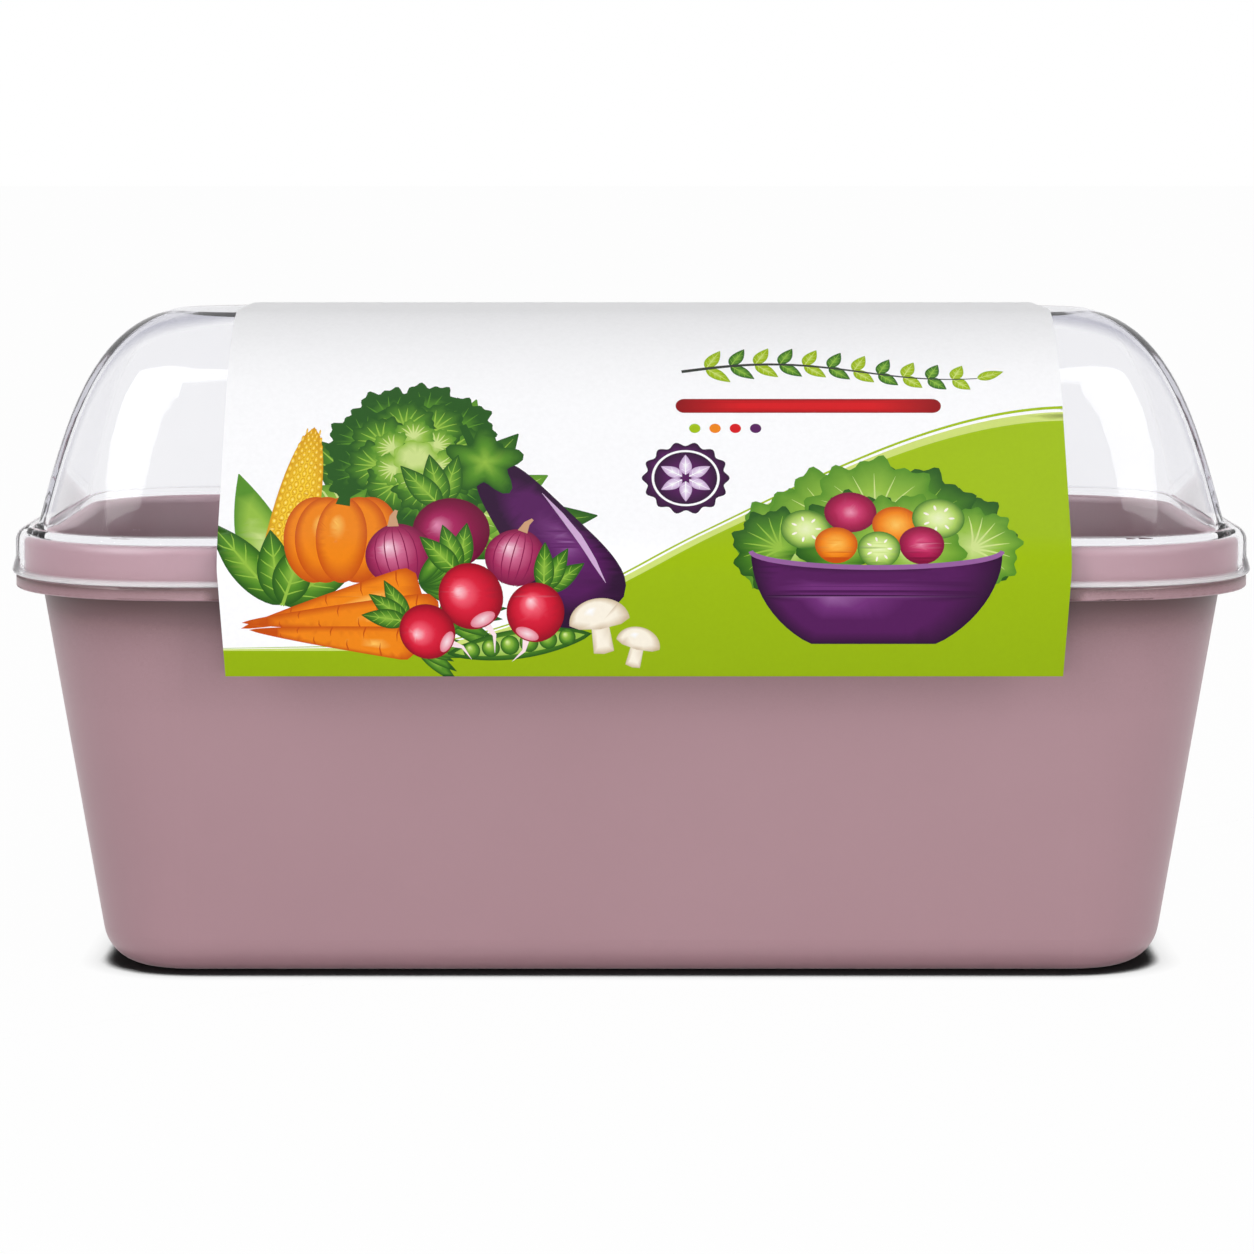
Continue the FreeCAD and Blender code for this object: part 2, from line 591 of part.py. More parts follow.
# Card sleeve: one sheet bent over the lid, with flaps that hang outside the rim
inner_edges = card_edges(size["card_gap"])
outer_edges = card_edges(size["card_gap"] + size["card"])
feet = []
for edge_in, edge_out in ((inner_edges[0], outer_edges[0]), (inner_edges[-4], outer_edges[-4])):
    feet.append(Part.makeLine(edge_in.Vertexes[0].Point, edge_out.Vertexes[0].Point))
outline = Part.Wire(Part.sortEdges(inner_edges + outer_edges + feet)[0])
sheet_shape = Part.Face(outline).extrude(FreeCAD.Vector(size["sleeve_length"], 0, 0))
sleeve = doc.addObject("Part::Feature", "label_sleeve")
sleeve.Shape = sheet_shape
sleeve.Placement = FreeCAD.Placement(
    FreeCAD.Vector(size["sleeve_shift"] - size["sleeve_length"] / 2, 0, 0), FreeCAD.Rotation())

# Check every feature and write the pieces
doc.recompute()
for item in doc.Objects:
    if "Invalid" in item.State or "Error" in item.State:
        raise RuntimeError(f"{item.Name} did not build: {item.State}")
os.makedirs("parts", exist_ok=True)
for piece in (tub, basket, lid, knob, shutter, sleeve):
    if piece.Shape.isNull() or not piece.Shape.isValid() or len(piece.Shape.Solids) != 1:
        raise RuntimeError(f"{piece.Label} is not one valid solid")
    piece.Shape.exportStep(f"parts/{piece.Label}.step")
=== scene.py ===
import math

import bmesh
import bpy
import numpy as np
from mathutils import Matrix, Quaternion, Vector
from mathutils.geometry import delaunay_2d_cdt


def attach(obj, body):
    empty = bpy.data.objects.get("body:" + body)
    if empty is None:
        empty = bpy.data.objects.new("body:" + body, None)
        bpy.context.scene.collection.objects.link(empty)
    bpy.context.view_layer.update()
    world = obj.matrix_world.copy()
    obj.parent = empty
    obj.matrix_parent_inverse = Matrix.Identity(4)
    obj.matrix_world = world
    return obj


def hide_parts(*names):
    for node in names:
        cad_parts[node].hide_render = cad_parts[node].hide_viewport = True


# Lidded vegetable box on a pale studio floor. Metres, Z up, X along the box, front towards -Y.
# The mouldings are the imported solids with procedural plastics; the card sleeve is rebuilt as a thin
# bent sheet that carries a printed design.

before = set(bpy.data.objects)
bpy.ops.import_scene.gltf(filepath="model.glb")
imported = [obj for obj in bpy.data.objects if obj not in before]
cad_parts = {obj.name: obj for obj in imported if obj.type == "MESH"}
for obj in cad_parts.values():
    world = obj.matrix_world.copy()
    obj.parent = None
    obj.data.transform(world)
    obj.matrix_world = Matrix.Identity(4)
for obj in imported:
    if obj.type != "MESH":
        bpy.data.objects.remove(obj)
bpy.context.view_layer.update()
scene = bpy.context.scene
MM = 0.001

# Sizes repeated from the model, in millimetres
RIM_HALF_WIDTH = 114.3
FLANGE_TOP = 127.2
LIP_HEIGHT = 4.1
FLARE_REACH = 1.629
FLARE_TOP = 133.0
FLARE_HEIGHT = 5.5
LID_FLANGE = 142.3
SKIRT_ROUND = 4.5
DOME_HEIGHT = 67.5
DOME_FRONT_INSET = 15.0
DOME_FRONT_LEAN = 9.0
DOME_FRONT_REACH = 63.0
DOME_POWER = 1.85
DOME_SHARE = 0.985
SLEEVE_FOOT = 100.0
SLEEVE_LENGTH = 264.9
SLEEVE_SHIFT = 4.0
CARD_GAP = 0.5
CARD_SHARES = (0.56, 0.66, 0.76, 0.85, 0.92, 0.97)
GLOSS_LOW, GLOSS_HIGH = LID_FLANGE + 1, LID_FLANGE + 5

# Sizes of the printed sheet, in millimetres
CARD_THICKNESS = 0.46
FLAP_TAPER = 0.018
CREASE_WINDOW = 4
CURVE_STEPS = 8

# Reach of the painted shade in the darker nooks, in millimetres, and rays used to find them
PIECE_NOOK = 40
LIP_NOOK = 6
FLOOR_NOOK = 12
NOOK_RAYS = 16

# Studio and camera, in metres, watts and degrees
FLOOR_REACH = 30.0
BOX_POWER = 9.7
CARD_POWER = 56
CARD_ROLL = 35
TOP_POWER = 1.2
FILL_POWER = 7.4
WORLD_LIGHT = 0.45
CAMERA_LENS = 125.69
CAMERA_SENSOR = 36
CAMERA_PLACE = (-0.00137, -1.4666, 0.2628)
CAMERA_DIP = 6.231


def linear(red, green, blue):
    """A colour given in 0 to 255 display values, as scene-linear values with alpha."""
    out = []
    for value in (red, green, blue):
        share = value / 255
        out.append(share / 12.92 if share <= 0.04045 else ((share + 0.055) / 1.055) ** 2.4)
    return (*out, 1.0)


# Node helpers

def add_node(tree, kind, **values):
    """A node whose named inputs are set from keywords, with underscores for spaces."""
    made = tree.nodes.new(kind)
    for key, value in values.items():
        made.inputs[key.replace("_", " ")].default_value = value
    return made


def link(tree, source, output, target, socket):
    tree.links.new(source.outputs[output], target.inputs[socket])


def noise(tree, scale, detail=2.0, roughness=0.5):
    """Noise in the object's own space, where one unit is a metre."""
    coordinates = tree.nodes.new("ShaderNodeTexCoord")
    made = add_node(tree, "ShaderNodeTexNoise", Scale=scale, Detail=detail, Roughness=roughness)
    link(tree, coordinates, "Object", made, "Vector")
    return made


def ramp(tree, source, output, stops):
    """A colour ramp over a value; stops are pairs of place and colour."""
    made = tree.nodes.new("ShaderNodeValToRGB")
    link(tree, source, output, made, "Fac")
    elements = made.color_ramp.elements
    elements[0].position, elements[0].color = stops[0]
    elements[1].position, elements[1].color = stops[-1]
    for place, colour in stops[1:-1]:
        elements.new(place).color = colour
    return made


def span(tree, source, output, low, high):
    """A value from 0 to 1 stretched over a range."""
    made = tree.nodes.new("ShaderNodeMapRange")
    link(tree, source, output, made, "Value")
    made.inputs["To Min"].default_value = low
    made.inputs["To Max"].default_value = high
    return made


def join(tree, operation, first, first_output, second, second_output):
    """Two values combined by a mathematical operation."""
    made = tree.nodes.new("ShaderNodeMath")
    made.operation = operation
    link(tree, first, first_output, made, 0)
    link(tree, second, second_output, made, 1)
    return made


def new_material(name):
    material = bpy.data.materials.new(name)
    material.use_nodes = True
    return material, material.node_tree, material.node_tree.nodes["Principled BSDF"]


def dress(node, material):
    """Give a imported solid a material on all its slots."""
    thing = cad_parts[node]
    if not thing.material_slots:
        thing.data.materials.append(material)
    for slot in thing.material_slots:
        slot.material = material


# Materials

def openness(tree, reach, local):
    """How open the surface is within a reach, from 0 to 1, among its own piece alone or all pieces."""
    made = tree.nodes.new("ShaderNodeAmbientOcclusion")
    made.samples = NOOK_RAYS
    made.only_local = local
    made.inputs["Distance"].default_value = reach * MM
    return made


def nook(tree, reach, local, stops):
    """A colour ramp over how open the surface is within a reach, used to paint shade into a colour."""
    return ramp(tree, openness(tree, reach, local), "AO", stops)


def multiply(tree, first, second):
    """The product of two colour outputs."""
    made = tree.nodes.new("ShaderNodeMix")
    made.data_type = "RGBA"
    made.blend_type = "MULTIPLY"
    made.inputs["Factor"].default_value = 1.0
    tree.links.new(first, made.inputs[6])
    tree.links.new(second, made.inputs[7])
    return made.outputs[2]


def grey(value):
    return (value, value, value, 1)


def level(tree, low, high):
    """Height in the object's own space, from 0 at a low level to 1 at a high one, both in millimetres."""
    coordinates = tree.nodes.new("ShaderNodeTexCoord")
    parts = tree.nodes.new("ShaderNodeSeparateXYZ")
    link(tree, coordinates, "Object", parts, "Vector")
    made = tree.nodes.new("ShaderNodeMapRange")
    link(tree, parts, "Z", made, "Value")
    made.inputs["From Min"].default_value = low * MM
    made.inputs["From Max"].default_value = high * MM
    return made


def outside(tree):
    """1 where the surface faces away from the middle of the box, 0 where it faces inwards."""
    place = tree.nodes.new("ShaderNodeNewGeometry")
    outward = tree.nodes.new("ShaderNodeVectorMath")
    outward.operation = "DOT_PRODUCT"
    link(tree, place, "Position", outward, 0)
    link(tree, place, "Normal", outward, 1)
    made = tree.nodes.new("ShaderNodeMath")
    made.operation = "GREATER_THAN"
    link(tree, outward, "Value", made, 0)
    made.inputs[1].default_value = 0.0
    return made


def outer_only(tree, colour):
    """A colour on the outer surfaces and white on the inner ones."""
    mix = tree.nodes.new("ShaderNodeMix")
    mix.data_type = "RGBA"
    link(tree, outside(tree), "Value", mix, 0)
    mix.inputs[6].default_value = grey(1)
    tree.links.new(colour.outputs["Color"], mix.inputs[7])
    return mix.outputs[2]


def pass_light(tree, shader, share, colour):
    """Let a share of the lamps' light through a surface, tinted by a colour."""
    passing = tree.nodes.new("ShaderNodeBsdfTransparent")
    tree.links.new(colour, passing.inputs["Color"])
    mix = tree.nodes.new("ShaderNodeMixShader")
    tree.links.new(share, mix.inputs["Fac"])
    tree.links.new(shader.outputs["BSDF"], mix.inputs[1])
    tree.links.new(passing.outputs["BSDF"], mix.inputs[2])
    link(tree, mix, "Shader", tree.nodes["Material Output"], "Surface")


def lip_shade(tree):
    """Colour of the shade under the lid's skirt, on the outside of the tub's lip while the lid is on."""
    below = level(tree, FLANGE_TOP - LIP_HEIGHT - 1, FLANGE_TOP - LIP_HEIGHT)
    below.inputs["To Min"].default_value = 1.0
    below.inputs["To Max"].default_value = 0.0
    above = level(tree, FLANGE_TOP - 0.4, FLANGE_TOP - 0.1)
    beyond = join(tree, "MAXIMUM", below, "Result", above, "Result")
    free = join(tree, "MAXIMUM", openness(tree, LIP_NOOK, False), "AO", beyond, "Value")
    deepest = (0.3, 0.22, 0.21, 1)
    stops = [(0.5, deepest), (0.94, deepest), (0.99, (0.75, 0.7, 0.7, 1)), (1.0, grey(1))]
    return outer_only(tree, ramp(tree, free, "Value", stops))


def moulded_plastic(name, dark, light, rough_low, rough_high, depth, lip=False):
    """Opaque moulded plastic: faint flow clouds, painted shade in its nooks, uneven sheen and a fine satin
    grain. With lip, the painted nook shade keeps to the outer surfaces, and painted shade under the lid's
    skirt darkens the lip.
    """
    material, tree, shader = new_material(name)
    clouds = ramp(tree, noise(tree, 7.0, 3.0), "Fac", [(0.3, dark), (0.7, light)])
    # Painted shade: darker where the piece itself closes round the surface
    nook_shade = nook(tree, PIECE_NOOK, True, depth)
    shade = outer_only(tree, nook_shade) if lip else nook_shade.outputs["Color"]
    colour = multiply(tree, shade, clouds.outputs["Color"])
    if lip:
        colour = multiply(tree, colour, lip_shade(tree))
    tree.links.new(colour, shader.inputs["Base Color"])
    shader.inputs["Sheen Weight"].default_value = 0.2
    shader.inputs["Sheen Roughness"].default_value = 0.3
    sheen = span(tree, noise(tree, 40.0, 3.0), "Fac", rough_low, rough_high)
    link(tree, sheen, "Result", shader, "Roughness")
    grain = add_node(tree, "ShaderNodeBump", Strength=0.06, Distance=0.0002)
    link(tree, noise(tree, 1400.0, 2.0), "Fac", grain, "Height")
    link(tree, grain, "Normal", shader, "Normal")
    return material


def clear_plastic(name, tint, grazing_shade_tint, body_colour, density, haze):
    """Clear moulded plastic: polished above its flange, with a painted grey shade on its outer face at
    grazing angles there, greyer the longer the way through it, frosted along its lowest edge, which paints a
    white highlight line there. Lamps shine through it, less through the thick lower edge."""
    material, tree, shader = new_material(name)
    shader.inputs["IOR"].default_value = 1.03
    gloss = level(tree, GLOSS_LOW, GLOSS_HIGH)
    gloss.inputs["To Max"].default_value = 0.3
    polish = join(tree, "MULTIPLY", gloss, "Result", outside(tree), "Value")
    link(tree, polish, "Value", shader, "Coat Weight")
    shader.inputs["Coat Roughness"].default_value = 0.06
    clouds = ramp(tree, noise(tree, 9.0, 2.0), "Fac", [(0.3, tint), (0.7, linear(252, 252, 253))])
    # Painted shade: the outer face above the flange greys towards grazing angles
    facing = add_node(tree, "ShaderNodeLayerWeight", Blend=0.5)
    slope = join(tree, "MULTIPLY", facing, "Facing", level(tree, GLOSS_LOW, GLOSS_HIGH), "Result")
    rim = ramp(tree, slope, "Value", [(0.62, grey(1)), (0.74, grazing_shade_tint), (1.0, grazing_shade_tint)])
    edge = outer_only(tree, rim)
    tree.links.new(multiply(tree, edge, clouds.outputs["Color"]), shader.inputs["Base Color"])
    body = tree.nodes.new("ShaderNodeVolumeAbsorption")
    body.inputs["Color"].default_value = body_colour
    body.inputs["Density"].default_value = density
    link(tree, body, "Volume", tree.nodes["Material Output"], "Volume")
    # Painted highlight: the lowest edge turns milky white, a white line where a highlight would be; elsewhere
    # only a slight haze
    height = level(tree, FLARE_TOP - FLARE_HEIGHT, FLARE_TOP)
    haze_and_painted_white_edge = ramp(tree, height, "Result", [(0.0, grey(0.45)), (0.18, grey(0.6)), (0.35, grey(1 - haze))])
    link(tree, haze_and_painted_white_edge, "Color", shader, "Transmission Weight")
    smear = span(tree, noise(tree, 26.0, 3.0), "Fac", 0.02, 0.06)
    link(tree, smear, "Result", shader, "Roughness")
    ripple = add_node(tree, "ShaderNodeBump", Strength=0.02, Distance=0.0004)
    link(tree, noise(tree, 34.0, 1.0), "Fac", ripple, "Height")
    link(tree, ripple, "Normal", shader, "Normal")
    path = tree.nodes.new("ShaderNodeLightPath")
    shade = ramp(tree, height, "Result", [(0.0, grey(0.8)), (0.6, grey(0.92)), (1.0, tint)])
    pass_light(tree, shader, path.outputs["Is Shadow Ray"], shade.outputs["Color"])
    return material


def coated_card(name):
    """Coated card: its printed colours over paper fibres. Some light comes through it into the dome."""
    material, tree, shader = new_material(name)
    fibres = noise(tree, 700.0, 4.0, 0.6)
    shade = ramp(tree, fibres, "Fac", [(0.25, linear(245, 245, 247)), (0.75, linear(250, 250, 252))])
    ink = tree.nodes.new("ShaderNodeVertexColor")
    ink.layer_name = "ink"
    colour = multiply(tree, ink.outputs["Color"], shade.outputs["Color"])
    tree.links.new(colour, shader.inputs["Base Color"])
    link(tree, span(tree, noise(tree, 120.0, 3.0), "Fac", 0.36, 0.48), "Result", shader, "Roughness")
    shader.inputs["Specular IOR Level"].default_value = 0.06
    grain = add_node(tree, "ShaderNodeBump", Strength=0.02, Distance=0.0001)
    link(tree, fibres, "Fac", grain, "Height")
    link(tree, grain, "Normal", shader, "Normal")
    path = tree.nodes.new("ShaderNodeLightPath")
    share = join(tree, "MULTIPLY", path, "Is Shadow Ray", level(tree, LID_FLANGE, LID_FLANGE + 8), "Result")
    glow = ramp(tree, fibres, "Fac", [(0.25, grey(0.6)), (0.75, grey(0.66))])
    pass_light(tree, shader, share.outputs["Value"], glow.outputs["Color"])
    return material


MAUVE = (linear(163, 128, 136), linear(168, 133, 141), 0.36, 0.46)
# Painted shade ramps over how open a surface is: the first darkens the tub's outer wall under its rim and in
# its nooks, the second darkens nooks a little on the basket and knob
SHADY = [(0.7, (0.27, 0.22, 0.21, 1)), (0.875, (0.43, 0.38, 0.37, 1)), (1.0, grey(1))]
LIGHT_NOOK_SHADE = [(0.3, (0.5, 0.44, 0.44, 1)), (1.0, grey(1))]
tub_plastic = moulded_plastic("tub_plastic", *MAUVE, SHADY, lip=True)
basket_plastic = moulded_plastic("basket_plastic", *MAUVE, LIGHT_NOOK_SHADE)
plum = moulded_plastic("plum_plastic", linear(62, 22, 52), linear(72, 28, 60), 0.2, 0.28, LIGHT_NOOK_SHADE)
clear = clear_plastic("clear_plastic", tint=linear(248, 248, 250), grazing_shade_tint=linear(190, 190, 202),
                      body_colour=(0.03, 0.0, 0.13, 1), density=1.5, haze=0.012)
card = coated_card("printed_card")
dress("outer_tub", tub_plastic)
dress("inner_basket", basket_plastic)
dress("lid_dome", clear)
dress("vent_shutter", clear)
dress("vent_knob", plum)


# Sleeve path

def dome_front(share):
    """The dome's front face at a share of its height: distance from the middle and height."""
    fall = 1 - (1 - (share * DOME_SHARE) ** DOME_POWER) ** (1 / DOME_POWER)
    inset = DOME_FRONT_INSET + DOME_FRONT_LEAN * share + DOME_FRONT_REACH * fall
    return np.array((RIM_HALF_WIDTH - inset, LID_FLANGE + share * DOME_HEIGHT))


def beside_dome(share):
    """A point of the card's inner face next to the dome at a share of its height."""
    along = dome_front(share + 0.01) - dome_front(share - 0.01)
    along /= np.linalg.norm(along)
    return dome_front(share) + np.array((along[1], -along[0])) * CARD_GAP


def rounded_path():
    """Points a millimetre apart along the card's inner face, from a flap's foot to the middle of the top."""
    flare = RIM_HALF_WIDTH + FLARE_REACH + CARD_GAP
    shoulder = (RIM_HALF_WIDTH + CARD_GAP, LID_FLANGE - SKIRT_ROUND / 2)
    fold = dome_front(1) + np.array((0, CARD_GAP))
    fine = [np.array(point) for point in ((flare, SLEEVE_FOOT), (flare, FLARE_TOP), shoulder)]
    curve = [Vector((*beside_dome(share), 0)) for share in CARD_SHARES] + [Vector((*fold, 0))]
    for i in range(len(curve) - 1):
        before, after = curve[max(i - 1, 0)], curve[min(i + 2, len(curve) - 1)]
        for step in range(CURVE_STEPS):
            t = step / CURVE_STEPS
            a, b = curve[i], curve[i + 1]
            point = 0.5 * (2 * a + (b - before) * t + (2 * before - 5 * a + 4 * b - after) * t * t
                           + (3 * a - before - 3 * b + after) * t ** 3)
            fine.append(np.array(point[:2]))
    fine = np.array(fine + [fold, np.array((0, fold[1]))])
    length = np.concatenate(([0], np.cumsum(np.linalg.norm(np.diff(fine, axis=0), axis=1))))
    even = np.linspace(0, length[-1], int(length[-1]) + 1)
    points = np.stack([np.interp(even, length, fine[:, i]) for i in (0, 1)], axis=1)
    smooth = points.copy()
    for i in range(len(points)):
        reach = min(CREASE_WINDOW, i, len(points) - 1 - i)
        smooth[i] = points[i - reach:i + reach + 1].mean(axis=0)
    return even, smooth


PATH_AT, PATH = rounded_path()
along = np.gradient(PATH, axis=0)
along /= np.linalg.norm(along, axis=1)[:, None]
PATH_OUT = np.stack((along[:, 1], -along[:, 0]), axis=1)
CARD_MIDDLE = PATH_AT[-1]


def on_card(u, v, lift, side):
    """A point of the sleeve: u along the box, v up from the flap's foot, lift off the card's inner face."""
    spot = [np.interp(v, PATH_AT, PATH[:, i]) + lift * np.interp(v, PATH_AT, PATH_OUT[:, i])
            for i in (0, 1)]
    narrow = 1 - FLAP_TAPER * max(0, 1 - v / (FLARE_TOP - SLEEVE_FOOT))
    return Vector((SLEEVE_SHIFT + u * narrow, -side * spot[0], spot[1])) * MM


def new_piece(name, mesh_maker, material, body):
    """A mesh object built by a function, riding on a body."""
    mesh = bpy.data.meshes.new(name)
    build = bmesh.new()
    mesh_maker(build)
    build.to_mesh(mesh)
    build.free()
    mesh.materials.append(material)
    thing = bpy.data.objects.new(name, mesh)
    scene.collection.objects.link(thing)
    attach(thing, body)
    return thing


# Printed design. Shapes are laid out flat in millimetres, u along the box and v up from the flap's foot,
# and painted one over the other; the visible parts are then cut out as one skin that is bent with the card.

LIME = (161, 192, 6)
LIME_LOW = (148, 178, 4)
LIME_PALE = (208, 224, 120)
LEAF_DARK = (34, 84, 22)
LEAF = (84, 142, 36)
LEAF_LIGHT = (148, 190, 66)
LEAF_PALE = (206, 224, 140)
PURPLE_DARK = (44, 10, 48)
PURPLE = (84, 24, 88)
PURPLE_LIGHT = (150, 96, 156)
RED_DARK = (140, 6, 14)
RED = (214, 18, 26)
ORANGE_DARK = (198, 78, 6)
ORANGE = (240, 134, 16)
ORANGE_LIGHT = (253, 198, 96)
YELLOW_DARK = (214, 150, 10)
YELLOW = (248, 206, 44)
YELLOW_LIGHT = (255, 240, 150)
CREAM = (250, 242, 224)
CREAM_DARK = (204, 182, 150)
WHITE = (255, 255, 255)
GREEN_LEAF = (LEAF_LIGHT, LEAF, LEAF_DARK)
PALE_LEAF = (LEAF_PALE, LEAF_LIGHT, LEAF)
BRIGHT_LEAF = (LIME_PALE, LIME, LIME_LOW)


class Sheet:
    """A flat drawing: closed outlines in painting order, each with a rule that gives its colour."""

    def __init__(self, width, height):
        self.spots = []
        self.loops = []
        self.paints = []
        half = width / 2
        self.add([(-half, 0), (half, 0), (half, height), (-half, height)], even_paint(WHITE))

    def place(self, points):
        start = len(self.spots)
        self.spots += points
        return list(range(start, len(self.spots)))

    def add(self, outline, paint):
        area = sum(a[0] * b[1] - b[0] * a[1] for a, b in zip(outline, outline[1:] + outline[:1]))
        self.loops.append(self.place(outline if area > 0 else outline[::-1]))
        self.paints.append(paint)

    def fill(self, outline, shades, eye=None):
        """A closed shape shaded in rings from an eye inside it out to its outline."""
        middle = eye or tuple(np.mean(outline, axis=0))
        for ring in range(1, len(shades) - 1):
            share = ring / (len(shades) - 1)
            self.place([(middle[0] + (x - middle[0]) * share, middle[1] + (y - middle[1]) * share)
                        for x, y in outline[::2]])
        if len(shades) > 1:
            self.place([middle])
        self.add(outline, ring_paint(outline, shades, middle))

    def stroke(self, line, widths, shade):
        """A line of changing width."""
        left, right = [], []
        for i, (x, y) in enumerate(line):
            before, after = line[max(i - 1, 0)], line[min(i + 1, len(line) - 1)]
            long = math.hypot(after[0] - before[0], after[1] - before[1])
            across = ((before[1] - after[1]) / long, (after[0] - before[0]) / long)
            left.append((x + across[0] * widths[i] / 2, y + across[1] * widths[i] / 2))
            right.append((x - across[0] * widths[i] / 2, y - across[1] * widths[i] / 2))
        self.add(right + left[::-1], even_paint(shade))

    def cut(self, width, bends):
        """Triangles of the visible parts with a colour for each corner, cut along the bends."""
        edges = [tuple(self.place([(-width / 2, v), (width / 2, v)])) for v in bends]
        spots = [Vector(spot) for spot in self.spots]
        spots, _, faces, _, _, owners = delaunay_2d_cdt(spots, edges, self.loops, 1, 1e-5)
        places = np.array([tuple(spot) for spot in spots])
        corners = [face for face, owner in zip(faces, owners) if 0 in owner]
        tops = np.array([max(owner) for owner in owners if 0 in owner])
        corners = np.array(corners)
        colours = np.empty((*corners.shape, 4))
        for shape in np.unique(tops):
            mine = tops == shape
            colours[mine] = self.paints[shape](places[corners[mine]])
        return places, corners, colours


def even_paint(shade):
    colour = np.array(linear(*shade))
    return lambda places: np.broadcast_to(colour, (*places.shape[:-1], 4))


def ring_paint(outline, shades, middle):
    """Colour by how far a point lies from the middle towards the outline."""
    arms = np.array(outline) - middle
    turns = np.arctan2(arms[:, 1], arms[:, 0])
    order = np.argsort(turns)
    reach = np.hypot(arms[:, 0], arms[:, 1])
    colours = np.array([linear(*shade) for shade in shades])
    stops = np.linspace(0, 1, len(shades))

    def paint(places):
        away = places - np.array(middle)
        heading = np.arctan2(away[..., 1], away[..., 0])
        limit = np.interp(heading, turns[order], reach[order], period=2 * math.pi)
        share = np.clip(np.hypot(away[..., 0], away[..., 1]) / np.maximum(limit, 1e-6), 0, 1)
        return np.stack([np.interp(share, stops, colours[:, i]) for i in range(4)], axis=-1)

    return paint


def turned(points, place, turn, scale=1.0):
    """Points turned by an angle in degrees about the origin, scaled and moved to a place."""
    c, s = math.cos(math.radians(turn)) * scale, math.sin(math.radians(turn)) * scale
    return [(place[0] + x * c - y * s, place[1] + x * s + y * c) for x, y in points]


def shifted(place, turn, x, y):
    return turned([(x, y)], place, turn)[0]


def ellipse(across, up, count=40, waves=0, depth=0.0):
    """An ellipse about the origin, optionally with waves round its edge."""
    out = []
    for i in range(count):
        a = 2 * math.pi * i / count
        r = 1 + depth * math.cos(waves * a)
        out.append((across * r * math.cos(a), up * r * math.sin(a)))
    return out


def spindle(half, length, count=18):
    """An outline symmetric about the X axis, from a rule for the half width at each share of the length."""
    steps = [i / count for i in range(count + 1)]
    return [(t * length, -half(t)) for t in steps] + [(t * length, half(t)) for t in reversed(steps)]


def leaf_half(width):
    return lambda t: width / 2 * math.sin(math.pi * min(t, 0.995) ** 0.75) ** 0.9 + 0.03


def draw_leaf(sheet, base, length, width, turn, shades, veins=5):
    """A pointed leaf with a midrib and side veins."""
    half = leaf_half(width)
    sheet.fill(turned(spindle(half, length), base, turn), shades, shifted(base, turn, length * 0.45, 0))
    if not veins:
        return
    for i in range(veins):
        t = 0.15 + 0.62 * i / veins
        for side in (-1, 1):
            vein = [(length * t, 0), (length * (t + 0.09), side * half(t + 0.09) * 0.5),
                    (length * (t + 0.15), side * half(t + 0.15) * 0.82)]
            sheet.stroke(turned(vein, base, turn), (width * 0.04, width * 0.03, 0.06), shades[0])
    rib = turned([(length * t, 0) for t in (0, 0.3, 0.6, 0.95)], base, turn)
    sheet.stroke(rib, (width * 0.09, width * 0.07, width * 0.05, 0.06), shades[0])


def draw_frill(sheet, place, radius, turn, shades):
    """A ruffled salad leaf: a fan with a wavy edge and veins that spread from its heart."""
    rim = []
    for i in range(57):
        a = math.radians(-105 + 210 * i / 56)
        ruffle = 1 + 0.07 * math.sin(9 * a + turn) + 0.05 * math.sin(19 * a + 2 * turn)
        rim.append((radius * ruffle * math.cos(a), radius * ruffle * 0.94 * math.sin(a)))
    sheet.fill(turned([(-radius * 0.3, 0)] + rim, place, turn), shades, place)
    for i in range(7):
        a = math.radians(-66 + 22 * i)
        vein = [(r * radius * math.cos(a * (0.8 + 0.2 * r)), r * radius * math.sin(a * (0.8 + 0.2 * r)))
                for r in (0.02, 0.3, 0.58, 0.8)]
        sheet.stroke(turned(vein, place, turn), (0.8, 0.6, 0.4, 0.06), shades[0])


def draw_rosette(sheet, place, radius):
    """A head of salad: rings of ruffled leaves, paler inwards."""
    rings = [(1.0, 9, (LEAF, LEAF, LEAF_DARK, LEAF_DARK)), (0.76, 8, GREEN_LEAF), (0.5, 6, PALE_LEAF)]
    for step, (share, count, shades) in enumerate(rings):
        for i in range(count):
            turn = 360 * i / count + 17 * step
            spot = shifted(place, turn, radius * share * 0.55, 0)
            draw_frill(sheet, spot, radius * share * 0.5, turn, shades)
    heart = turned(ellipse(radius * 0.25, radius * 0.23, 42, 7, 0.08), place, 0)
    sheet.fill(heart, (LEAF_PALE, LEAF_PALE, LEAF_LIGHT))


def draw_aubergine(sheet, place, length, turn):
    """An aubergine with a lobed green cap and a stalk."""
    half = lambda t: length * (0.115 + 0.13 * t) * math.sqrt(max(1 - (2 * t - 1) ** 6, 0)) + 0.03
    sheet.fill(turned(spindle(half, length, 26), place, turn),
               (PURPLE_LIGHT, (108, 46, 112), PURPLE, PURPLE, PURPLE_DARK, PURPLE_DARK),
               shifted(place, turn, length * 0.6, length * 0.08))
    shine = [(length * t, length * (0.1 + 0.035 * math.sin(math.pi * t)))
             for t in (0.3, 0.45, 0.6, 0.75, 0.86)]
    sheet.stroke(turned(shine, place, turn), (0.1, 1.6, 2.2, 1.6, 0.1), (206, 170, 210))
    stalk = turned([(-length * 0.24, length * 0.03), (-length * 0.1, 0.0), (length * 0.04, 0)], place, turn)
    sheet.stroke(stalk, (2.4, 2.9, 3.4), LEAF_DARK)
    cap = [(0.165 * math.cos(a) * (1 + 0.3 * math.cos(5 * a)),
            0.15 * math.sin(a) * (1 + 0.25 * math.cos(5 * a)))
           for a in np.linspace(0, 2 * math.pi, 40, endpoint=False)]
    sheet.fill(turned(cap, place, turn, length), GREEN_LEAF)


